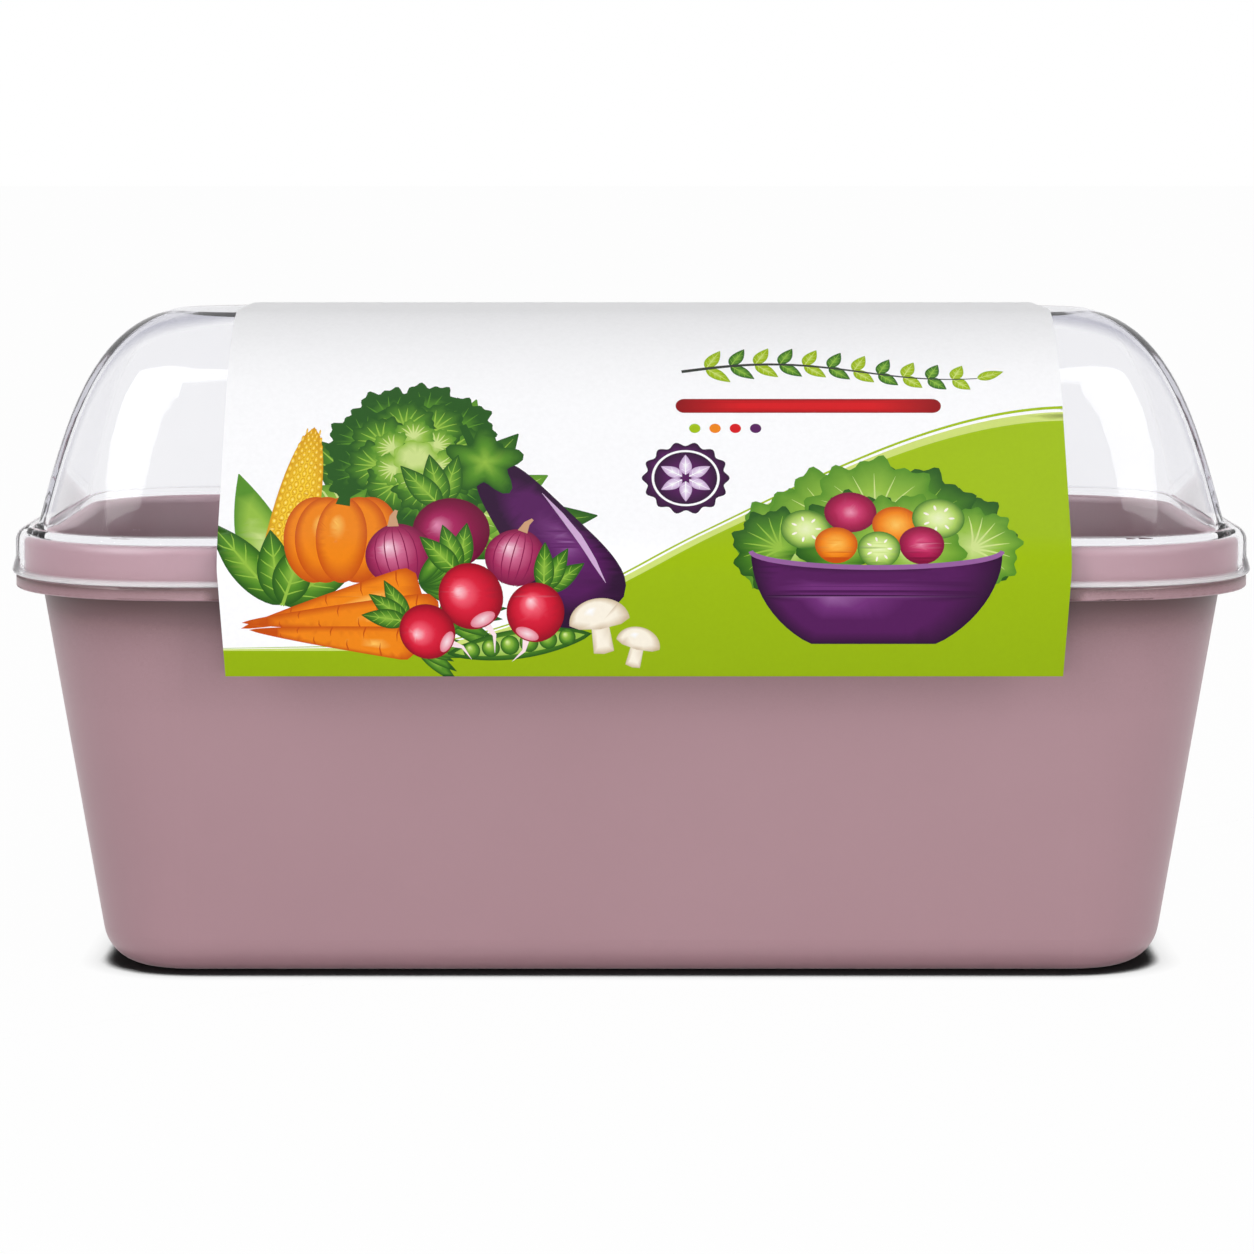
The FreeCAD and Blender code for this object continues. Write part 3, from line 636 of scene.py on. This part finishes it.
def draw_carrot(sheet, place, length, turn):
    """A carrot from its crown at the place to its tip, with a feathery top."""
    for i in range(9):
        reach = length * (0.3 + 0.05 * math.cos(i * 1.7))
        draw_leaf(sheet, place, reach, reach * 0.24, turn + 142 + 9.6 * i, GREEN_LEAF, 0)
    half = lambda t: length * 0.105 * (1 - t) ** 0.72 * min(1, (t + 0.02) * 14) ** 0.5 + 0.03
    sheet.fill(turned(spindle(half, length, 24), place, turn), (ORANGE_LIGHT, ORANGE, ORANGE, ORANGE_DARK),
               shifted(place, turn, length * 0.25, length * 0.02))
    for i in range(8):
        t = 0.1 + 0.1 * i
        side = 1 if i % 2 else -1
        crease = [(length * t, side * half(t) * 0.96), (length * (t + 0.012), side * half(t) * 0.5),
                  (length * (t + 0.01), side * half(t) * 0.08)]
        sheet.stroke(turned(crease, place, turn), (0.5, 0.4, 0.06), ORANGE_DARK)


def draw_bulb(sheet, place, radius, turn, shades, tip):
    """A radish or beetroot: leaves, a round body, a pale or dark tip and a root."""
    for lean in (-34, -8, 20):
        crown = shifted(place, turn, 0, radius * 0.8)
        draw_leaf(sheet, crown, radius * 1.7, radius * 0.7, turn + 90 + lean, GREEN_LEAF, 4)
    tail = [(0, -radius * 0.8), (radius * 0.1, -radius * 1.4), (-radius * 0.15, -radius * 1.9)]
    sheet.stroke(turned(tail, place, turn), (radius * 0.3, radius * 0.12, 0.06), tip[0])
    sheet.fill(turned(ellipse(radius, radius * 1.04), place, turn), shades,
               shifted(place, turn, -radius * 0.3, radius * 0.32))
    spot = shifted(place, turn, 0, -radius * 0.8)
    sheet.fill(turned(ellipse(radius * 0.42, radius * 0.2, 20), spot, turn), tip)


RADISH = ((255, 214, 220), (242, 92, 112), (216, 30, 58), (196, 16, 44), (136, 6, 30))
RADISH_TIP = ((250, 226, 230), (226, 120, 140))
BEET = ((226, 140, 176), (168, 34, 92), (132, 14, 66), (98, 6, 46))
BEET_TIP = ((150, 30, 80), (112, 10, 54))


def draw_onion(sheet, place, radius, turn):
    """A red onion with lines from its neck to its root."""
    bulb = [(x, y * (1 + 0.16 * max(y / radius, 0) ** 3)) for x, y in ellipse(radius, radius * 0.92)]
    sheet.fill(turned(bulb, place, turn), ((250, 214, 226), (206, 104, 142), (164, 44, 92), (118, 18, 62)),
               shifted(place, turn, -radius * 0.3, radius * 0.3))
    for side in (-0.7, -0.4, -0.1, 0.22, 0.52, 0.8):
        line = [(radius * side * math.cos(a) ** 0.8, radius * 0.94 * math.sin(a))
                for a in np.linspace(-1.35, 1.4, 9)]
        sheet.stroke(turned(line, place, turn), [0.12, 0.24, 0.32, 0.36, 0.36, 0.36, 0.32, 0.24, 0.12],
                     (134, 24, 74))
    neck = [(0, radius * 0.95), (radius * 0.06, radius * 1.3), (radius * 0.2, radius * 1.5)]
    sheet.stroke(turned(neck, place, turn), (radius * 0.34, radius * 0.2, radius * 0.1), (206, 158, 120))


def draw_corn(sheet, place, length, turn):
    """A maize cob with rows of grains, in its opened husk."""
    half = lambda t: length * 0.135 * (1 - t ** 2.6) ** 0.6 * min(1, (t + 0.04) * 9) ** 0.5 + 0.03
    for lean in (26, -26):
        draw_leaf(sheet, shifted(place, turn, -length * 0.08, 0), length * 0.8, length * 0.26, turn + lean,
                  PALE_LEAF, 0)
    sheet.fill(turned(spindle(half, length), place, turn), (YELLOW, YELLOW, YELLOW_DARK))
    for i in range(19):
        t = 0.04 + 0.05 * i
        for row in range(-3, 4):
            spot = shifted(place, turn, length * (t + 0.025 * (row % 2)), half(t) * row * 0.27)
            grain = ellipse(length * 0.024, max(half(t) * 0.125, 0.2), 10)
            sheet.fill(turned(grain, spot, turn), (YELLOW_LIGHT, YELLOW, YELLOW_DARK))
    for lean, reach in ((48, 0.62), (-48, 0.62), (16, 0.42), (-14, 0.4)):
        draw_leaf(sheet, shifted(place, turn, -length * 0.1, 0), length * reach, length * 0.2, turn + lean,
                  GREEN_LEAF, 4)


def draw_pumpkin(sheet, place, radius):
    """A ribbed orange squash: overlapping lobes and a stalk."""
    for across in (-0.72, 0.72, -0.42, 0.42, 0.0):
        middle = (place[0] + radius * across * 0.62, place[1])
        lobe = turned(ellipse(radius * (0.5 if across else 0.42), radius * 0.78), middle, 0)
        sheet.fill(lobe, (ORANGE_LIGHT, ORANGE, ORANGE, ORANGE_DARK),
                   (middle[0] - radius * 0.1, middle[1] + radius * 0.28))
    stalk = [(0, radius * 0.62), (radius * 0.05, radius * 0.88), (radius * 0.22, radius * 1.06)]
    sheet.stroke(turned(stalk, place, 0), (radius * 0.24, radius * 0.16, radius * 0.2), LEAF_DARK)


def draw_pod(sheet, place, length, turn):
    """An open pea pod with its peas."""
    for wide, inset, shades in ((0.1, 0.0, GREEN_LEAF), (0.066, 0.05, (LEAF_PALE, LEAF_LIGHT))):
        half = lambda t: length * wide * math.sin(math.pi * t) ** 0.7 + 0.03
        spot = shifted(place, turn, length * inset, 0)
        sheet.fill(turned(spindle(half, length * (1 - 2 * inset)), spot, turn), shades)
    for i in range(6):
        spot = shifted(place, turn, length * (0.17 + 0.132 * i), 0)
        r = length * (0.058 + 0.008 * math.sin(math.pi * i / 5))
        sheet.fill(turned(ellipse(r, r, 24), spot, 0), ((222, 238, 160), LEAF_LIGHT, LEAF, LEAF_DARK),
                   (spot[0] - r * 0.3, spot[1] + r * 0.35))


def draw_mushroom(sheet, place, radius, turn):
    """A pale mushroom; the place is the middle of its cap's foot."""
    stem = [(-0.34, -1.0), (0.0, -1.06), (0.34, -1.0), (0.28, 0.0), (-0.28, 0.0)]
    sheet.fill(turned(stem, place, turn, radius), (CREAM, CREAM, CREAM_DARK))
    cap = [(math.cos(a), 0.78 * math.sin(a)) for a in np.linspace(0, math.pi, 25)]
    cap += [(-0.7, -0.16), (0.0, -0.24), (0.7, -0.16)]
    sheet.fill(turned(cap, place, turn, radius), (WHITE, CREAM, CREAM, CREAM_DARK),
               shifted(place, turn, -radius * 0.25, radius * 0.4))


def draw_slice(sheet, place, radius, shades, seeds):
    """A round slice with a skin, and seeds in a ring."""
    sheet.fill(turned(ellipse(radius, radius * 0.92, 32), place, 0), shades)
    for i in range(seeds):
        turn = 360 * i / seeds
        spot = shifted(place, turn, radius * 0.5, 0)
        sheet.fill(turned(ellipse(radius * 0.12, radius * 0.05, 10), spot, turn), (WHITE, CREAM))


def field_edge(u):
    """Height of the green field's upper edge along the sleeve."""
    t = min(max((u + 78) / 212, 0), 1)
    return 8 + 80 * t * t * (3 - 2 * t)


def draw_field(sheet, width):
    """The green field along the sleeve's foot, with a pale border and a line above it."""
    us = [-width / 2 + width * i / 80 for i in range(81)]
    share = [i / 80 for i in range(81)]
    edge = [field_edge(u) for u in us]
    for gap, thick, shade in ((4.6, 1.1, LIME), (0.0, 3.4, LIME_PALE)):
        upper = [(u, e + (gap + thick) * (0.15 + 0.85 * s)) for u, e, s in zip(us, edge, share)]
        lower = [(u, e + gap * (0.15 + 0.85 * s)) for u, e, s in zip(us, edge, share)]
        sheet.add(lower + upper[::-1], even_paint(shade))
    low, high = np.array(linear(*LIME_LOW)), np.array(linear(*LIME))

    def paint(places):
        rise = np.clip(places[..., 1:] / 60, 0, 1)
        return low + (high - low) * rise

    sheet.place([(u, 30) for u in us[40:]])
    sheet.add([(us[0], 0), (us[-1], 0)] + list(zip(us, edge))[::-1], paint)


def draw_bowl(sheet, place, radius):
    """A dark bowl heaped with salad."""
    heap = [(-0.62, 0.05, 0.5, 118), (0.6, 0.06, 0.5, 60), (-0.3, 0.2, 0.58, 100), (0.28, 0.2, 0.58, 78),
            (0.0, 0.26, 0.6, 90), (-0.76, 0.02, 0.38, 150), (0.76, 0.02, 0.38, 30), (-0.15, 0.04, 0.5, 110),
            (0.2, 0.02, 0.5, 70)]
    for i, (across, up, reach, turn) in enumerate(heap):
        spot = (place[0] + radius * across, place[1] + radius * up)
        draw_frill(sheet, spot, reach * radius, turn, (PALE_LEAF, GREEN_LEAF)[i % 2])
    cucumber = ((238, 246, 200), (222, 238, 160), (176, 210, 96), (60, 116, 34))
    beet = ((236, 150, 178), (206, 60, 110), (170, 24, 76), (122, 10, 54))
    carrot = (ORANGE_LIGHT, (250, 170, 60), ORANGE, ORANGE_DARK)
    for across, up, reach, shades, seeds in (
            (-0.56, 0.2, 0.2, cucumber, 7), (-0.2, 0.36, 0.21, beet, 0), (0.16, 0.24, 0.19, carrot, 0),
            (0.5, 0.3, 0.21, cucumber, 7), (-0.32, 0.06, 0.17, carrot, 0), (0.36, 0.06, 0.18, beet, 0),
            (0.02, 0.02, 0.17, cucumber, 7)):
        spot = (place[0] + radius * across, place[1] + radius * up)
        draw_slice(sheet, spot, radius * reach, shades, seeds)
    side = [(math.cos(a), max(0.86 * math.sin(a), -0.74)) for a in np.linspace(math.pi, 2 * math.pi, 37)]
    rim = [(math.cos(a), -0.13 * math.sin(a)) for a in np.linspace(0, math.pi, 31)]
    sheet.fill(turned(side + rim[1:-1], place, 0, radius),
               (PURPLE_LIGHT, (112, 46, 118), PURPLE, PURPLE, PURPLE_DARK),
               (place[0] - radius * 0.35, place[1] - radius * 0.36))
    sheet.stroke(turned(rim[::-1], place, 0, radius), [1.5] * 31, PURPLE_LIGHT)


def draw_sprig(sheet, start, length):
    """A long twig with paired leaves."""
    line = [(start[0] + length * t, start[1] + 3.4 * math.sin(5.2 * t)) for t in np.linspace(0, 1, 25)]
    for i in range(1, 12):
        for side in (-1, 1):
            shades = (GREEN_LEAF, BRIGHT_LEAF)[i % 2]
            draw_leaf(sheet, line[2 * i], 10 - 0.28 * i, 4.2, 12 + side * 50, shades, 3)
    draw_leaf(sheet, line[-1], 9, 3.8, 20, BRIGHT_LEAF, 3)
    sheet.stroke(line, [1.3 - i * 0.04 for i in range(25)], (52, 56, 50))


def draw_rosace(sheet, place, radius):
    """A scalloped round ornament with a ring and a flower of leaves."""
    sheet.fill(turned(ellipse(radius, radius, 112, 14, 0.06), place, 0),
               (PURPLE_LIGHT, PURPLE, PURPLE, PURPLE_DARK),
               (place[0] - radius * 0.3, place[1] + radius * 0.35))
    sheet.fill(turned(ellipse(radius * 0.82, radius * 0.82, 56), place, 0), (WHITE, WHITE))
    sheet.fill(turned(ellipse(radius * 0.76, radius * 0.76, 56), place, 0), (PURPLE, PURPLE, PURPLE_DARK))
    for i in range(6):
        turn = 60 * i + 30
        draw_leaf(sheet, shifted(place, turn, radius * 0.1, 0), radius * 0.58, radius * 0.3, turn,
                  (WHITE, (226, 206, 232), (200, 168, 208)), 2)


def draw_pill(sheet, left, right, low, high, shades):
    """A bar with round ends."""
    r = (high - low) / 2
    outline = []
    for middle, start in ((right - r, -math.pi / 2), (left + r, math.pi / 2)):
        outline += [(middle + r * math.cos(a), low + r + r * math.sin(a))
                    for a in np.linspace(start, start + math.pi, 15)]
    sheet.fill(outline, shades)


def draw_design(sheet, width):
    """The whole face of the sleeve, the same on the front and the back."""
    draw_field(sheet, width)
    for i, turn in enumerate((8, 30, 52, 72, 92, 112, 134, 156, 176)):
        draw_leaf(sheet, (-70, 44), 50 + 6 * math.cos(2.3 * i), 21, turn, (GREEN_LEAF, PALE_LEAF)[i % 2], 7)
    draw_rosette(sheet, (-72, 74), 27)
    draw_corn(sheet, (-112, 28), 58, 82)
    draw_pumpkin(sheet, (-94, 44), 19)
    draw_aubergine(sheet, (-50, 72), 66, -56)
    draw_bulb(sheet, (-60, 46), 12, 20, BEET, BEET_TIP)
    draw_onion(sheet, (-76, 38), 10.5, 12)
    draw_carrot(sheet, (-70, 29), 58, 194)
    draw_carrot(sheet, (-64, 20), 62, 183)
    draw_carrot(sheet, (-72, 10), 52, 175)
    draw_onion(sheet, (-40, 37), 9.5, -14)
    draw_pod(sheet, (-62, 7), 46, 8)
    draw_bulb(sheet, (-54, 25), 10, 26, RADISH, RADISH_TIP)
    draw_bulb(sheet, (-34, 20), 9, -22, RADISH, RADISH_TIP)
    draw_bulb(sheet, (-68, 14), 8.5, 62, RADISH, RADISH_TIP)
    draw_mushroom(sheet, (-14, 17), 9.5, 8)
    draw_mushroom(sheet, (-2, 10), 7.0, -14)
    draw_bowl(sheet, (72, 39), 39)
    draw_sprig(sheet, (12, 108), 94)
    draw_pill(sheet, 10, 94, 91, 96.5, (RED, RED, RED_DARK))
    draw_rosace(sheet, (13, 66), 13)
    for i, shade in enumerate((LIME, ORANGE, RED, PURPLE)):
        sheet.fill(turned(ellipse(1.8, 1.8, 20), (16 + 6.4 * i, 85), 0), (shade, shade))


def plain(face, ink):
    """An unprinted face of the card."""
    face.smooth = True
    for loop in face.loops:
        loop[ink] = (1, 1, 1, 1)


def build_card(build):
    """The bent sheet: a printed outer face, a plain inner face and the cut edges."""
    width = SLEEVE_LENGTH
    bends = sorted({0.0, CARD_MIDDLE, *np.arange(25, 47, 1.5), *np.arange(80, CARD_MIDDLE - 1, 2.5)})
    sheet = Sheet(width, CARD_MIDDLE)
    draw_design(sheet, width)
    places, corners, colours = sheet.cut(width, bends[1:-1])
    ink = build.loops.layers.float_color.new("ink")
    for side in (1, -1):
        spots = [build.verts.new(on_card(side * u, v, CARD_THICKNESS, side)) for u, v in places]
        for face, shades in zip(corners, colours):
            made = build.faces.new([spots[i] for i in face])
            made.smooth = True
            for loop, shade in zip(made.loops, shades):
                loop[ink] = shade
        rims = ((-width / 2, CARD_THICKNESS), (-width / 2, 0), (width / 2, 0), (width / 2, CARD_THICKNESS))
        ends = [[build.verts.new(on_card(u, v, lift, side)) for v in bends] for u, lift in rims]
        strips = list(zip(ends, ends[1:])) if side > 0 else list(zip(ends[1:], ends))
        for first, second in strips:
            for i in range(len(bends) - 1):
                plain(build.faces.new((first[i], first[i + 1], second[i + 1], second[i])), ink)
        foot = [strip[0] for strip in ends]
        plain(build.faces.new(foot if side > 0 else foot[::-1]), ink)
    bmesh.ops.remove_doubles(build, verts=build.verts[:], dist=1e-6)
    for edge in build.edges:
        edge.smooth = edge.calc_face_angle(0) < 1


sleeve = new_piece("sleeve_sheet", build_card, card, "sleeve")
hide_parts("label_sleeve")


# Studio: floor, world, lamps and camera

def in_view(tree):
    """1 for rays that reach the eye directly, through clear plastic or off a gloss, 0 for rays that light."""
    path = tree.nodes.new("ShaderNodeLightPath")
    through = join(tree, "MAXIMUM", path, "Is Camera Ray", path, "Is Transmission Ray")
    shown = join(tree, "MAXIMUM", through, "Value", path, "Is Glossy Ray")
    lit = tree.nodes.new("ShaderNodeMath")
    lit.operation = "LESS_THAN"
    link(tree, path, "Diffuse Depth", lit, 0)
    lit.inputs[1].default_value = 0.5
    return join(tree, "MULTIPLY", shown, "Value", lit, "Value")


def build_floor():
    """A white floor with a faint real shadow and a painted shadow: a dark contact line round the box."""
    mesh = bpy.data.meshes.new("floor")
    reach = FLOOR_REACH
    corners = [(-reach, -reach, 0), (reach, -reach, 0), (reach, reach, 0), (-reach, reach, 0)]
    mesh.from_pydata(corners, [], [(0, 1, 2, 3)])
    floor = bpy.data.objects.new("floor", mesh)
    scene.collection.objects.link(floor)
    material, tree, shader = new_material("floor_white")
    tree.nodes.remove(shader)
    shown = in_view(tree)
    matt = tree.nodes.new("ShaderNodeBsdfDiffuse")
    matt.inputs["Color"].default_value = grey(0.92)
    thin = tree.nodes.new("ShaderNodeBsdfDiffuse")
    thin.inputs["Color"].default_value = grey(0.03)
    # Painted shadow: the floor's glow darkens where little is open round it, a dark contact line at the box's
    # foot
    stops = [(0.43, grey(0)), (0.5, grey(0.05)), (0.56, grey(0.42)), (0.62, grey(0.82)), (0.8, grey(0.93)),
             (1.0, grey(1))]
    dark = nook(tree, FLOOR_NOOK, False, stops)
    glow = tree.nodes.new("ShaderNodeEmission")
    glow.inputs["Strength"].default_value = 0.97
    link(tree, dark, "Color", glow, "Color")
    both = tree.nodes.new("ShaderNodeAddShader")
    tree.links.new(thin.outputs["BSDF"], both.inputs[0])
    tree.links.new(glow.outputs["Emission"], both.inputs[1])
    mix = tree.nodes.new("ShaderNodeMixShader")
    link(tree, shown, "Value", mix, "Fac")
    tree.links.new(matt.outputs["BSDF"], mix.inputs[1])
    tree.links.new(both.outputs["Shader"], mix.inputs[2])
    link(tree, mix, "Shader", tree.nodes["Material Output"], "Surface")
    mesh.materials.append(material)


def build_world():
    """White where it is seen, dimmer where it lights."""
    world = bpy.data.worlds.new("studio")
    scene.world = world
    world.use_nodes = True
    tree = world.node_tree
    light = tree.nodes["Background"]
    light.inputs["Color"].default_value = (1, 1, 1, 1)
    light.inputs["Strength"].default_value = WORLD_LIGHT
    white = tree.nodes.new("ShaderNodeBackground")
    white.inputs["Color"].default_value = (1, 1, 1, 1)
    white.inputs["Strength"].default_value = 1.0
    shown = in_view(tree)
    mix = tree.nodes.new("ShaderNodeMixShader")
    link(tree, shown, "Value", mix, "Fac")
    tree.links.new(light.outputs["Background"], mix.inputs[1])
    tree.links.new(white.outputs["Background"], mix.inputs[2])
    link(tree, mix, "Shader", tree.nodes["World Output"], "Surface")


def add_lamp(name, place, target, width, height, power, roll=0.0, lights=True):
    """A rectangular softbox aimed at a point; one that does not light shows in reflections alone.
    Clear plastic passes its light on as shadow rays, so the lamp itself stays hidden behind it."""
    lamp = bpy.data.lights.new(name, "AREA")
    lamp.shape = "RECTANGLE"
    lamp.size, lamp.size_y = width, height
    lamp.energy = power
    thing = bpy.data.objects.new(name, lamp)
    thing.location = place
    aim = (Vector(target) - Vector(place)).to_track_quat("-Z", "Y")
    thing.rotation_euler = (aim @ Quaternion((0, 0, 1), math.radians(roll))).to_euler()
    thing.visible_transmission = False
    thing.visible_diffuse = lights
    scene.collection.objects.link(thing)


build_floor()
build_world()
for side, way in (("left", -1), ("right", 1)):
    add_lamp(side + "_box", (way * 1.45, -1.3, 0.85), (0, 0, 0.14), 0.9, 1.5, BOX_POWER)
    add_lamp(side + "_card", (way * 0.93, -0.5, 1.36), (way * 0.15, -0.09, 0.17), 0.95, 2.1, CARD_POWER,
             roll=-way * CARD_ROLL, lights=False)
add_lamp("top_box", (0, -0.45, 1.3), (0, -0.35, 0), 1.6, 0.6, TOP_POWER)
add_lamp("low_fill", (0, -1.8, 0.12), (0, 0, 0.05), 1.6, 0.2, FILL_POWER)

camera = bpy.data.cameras.new("camera")
camera.lens = CAMERA_LENS
camera.sensor_width = CAMERA_SENSOR
viewer = bpy.data.objects.new("camera", camera)
viewer.location = CAMERA_PLACE
viewer.rotation_euler = (math.radians(90 - CAMERA_DIP), 0, 0)
scene.collection.objects.link(viewer)
scene.camera = viewer
scene.view_settings.view_transform = "Standard"
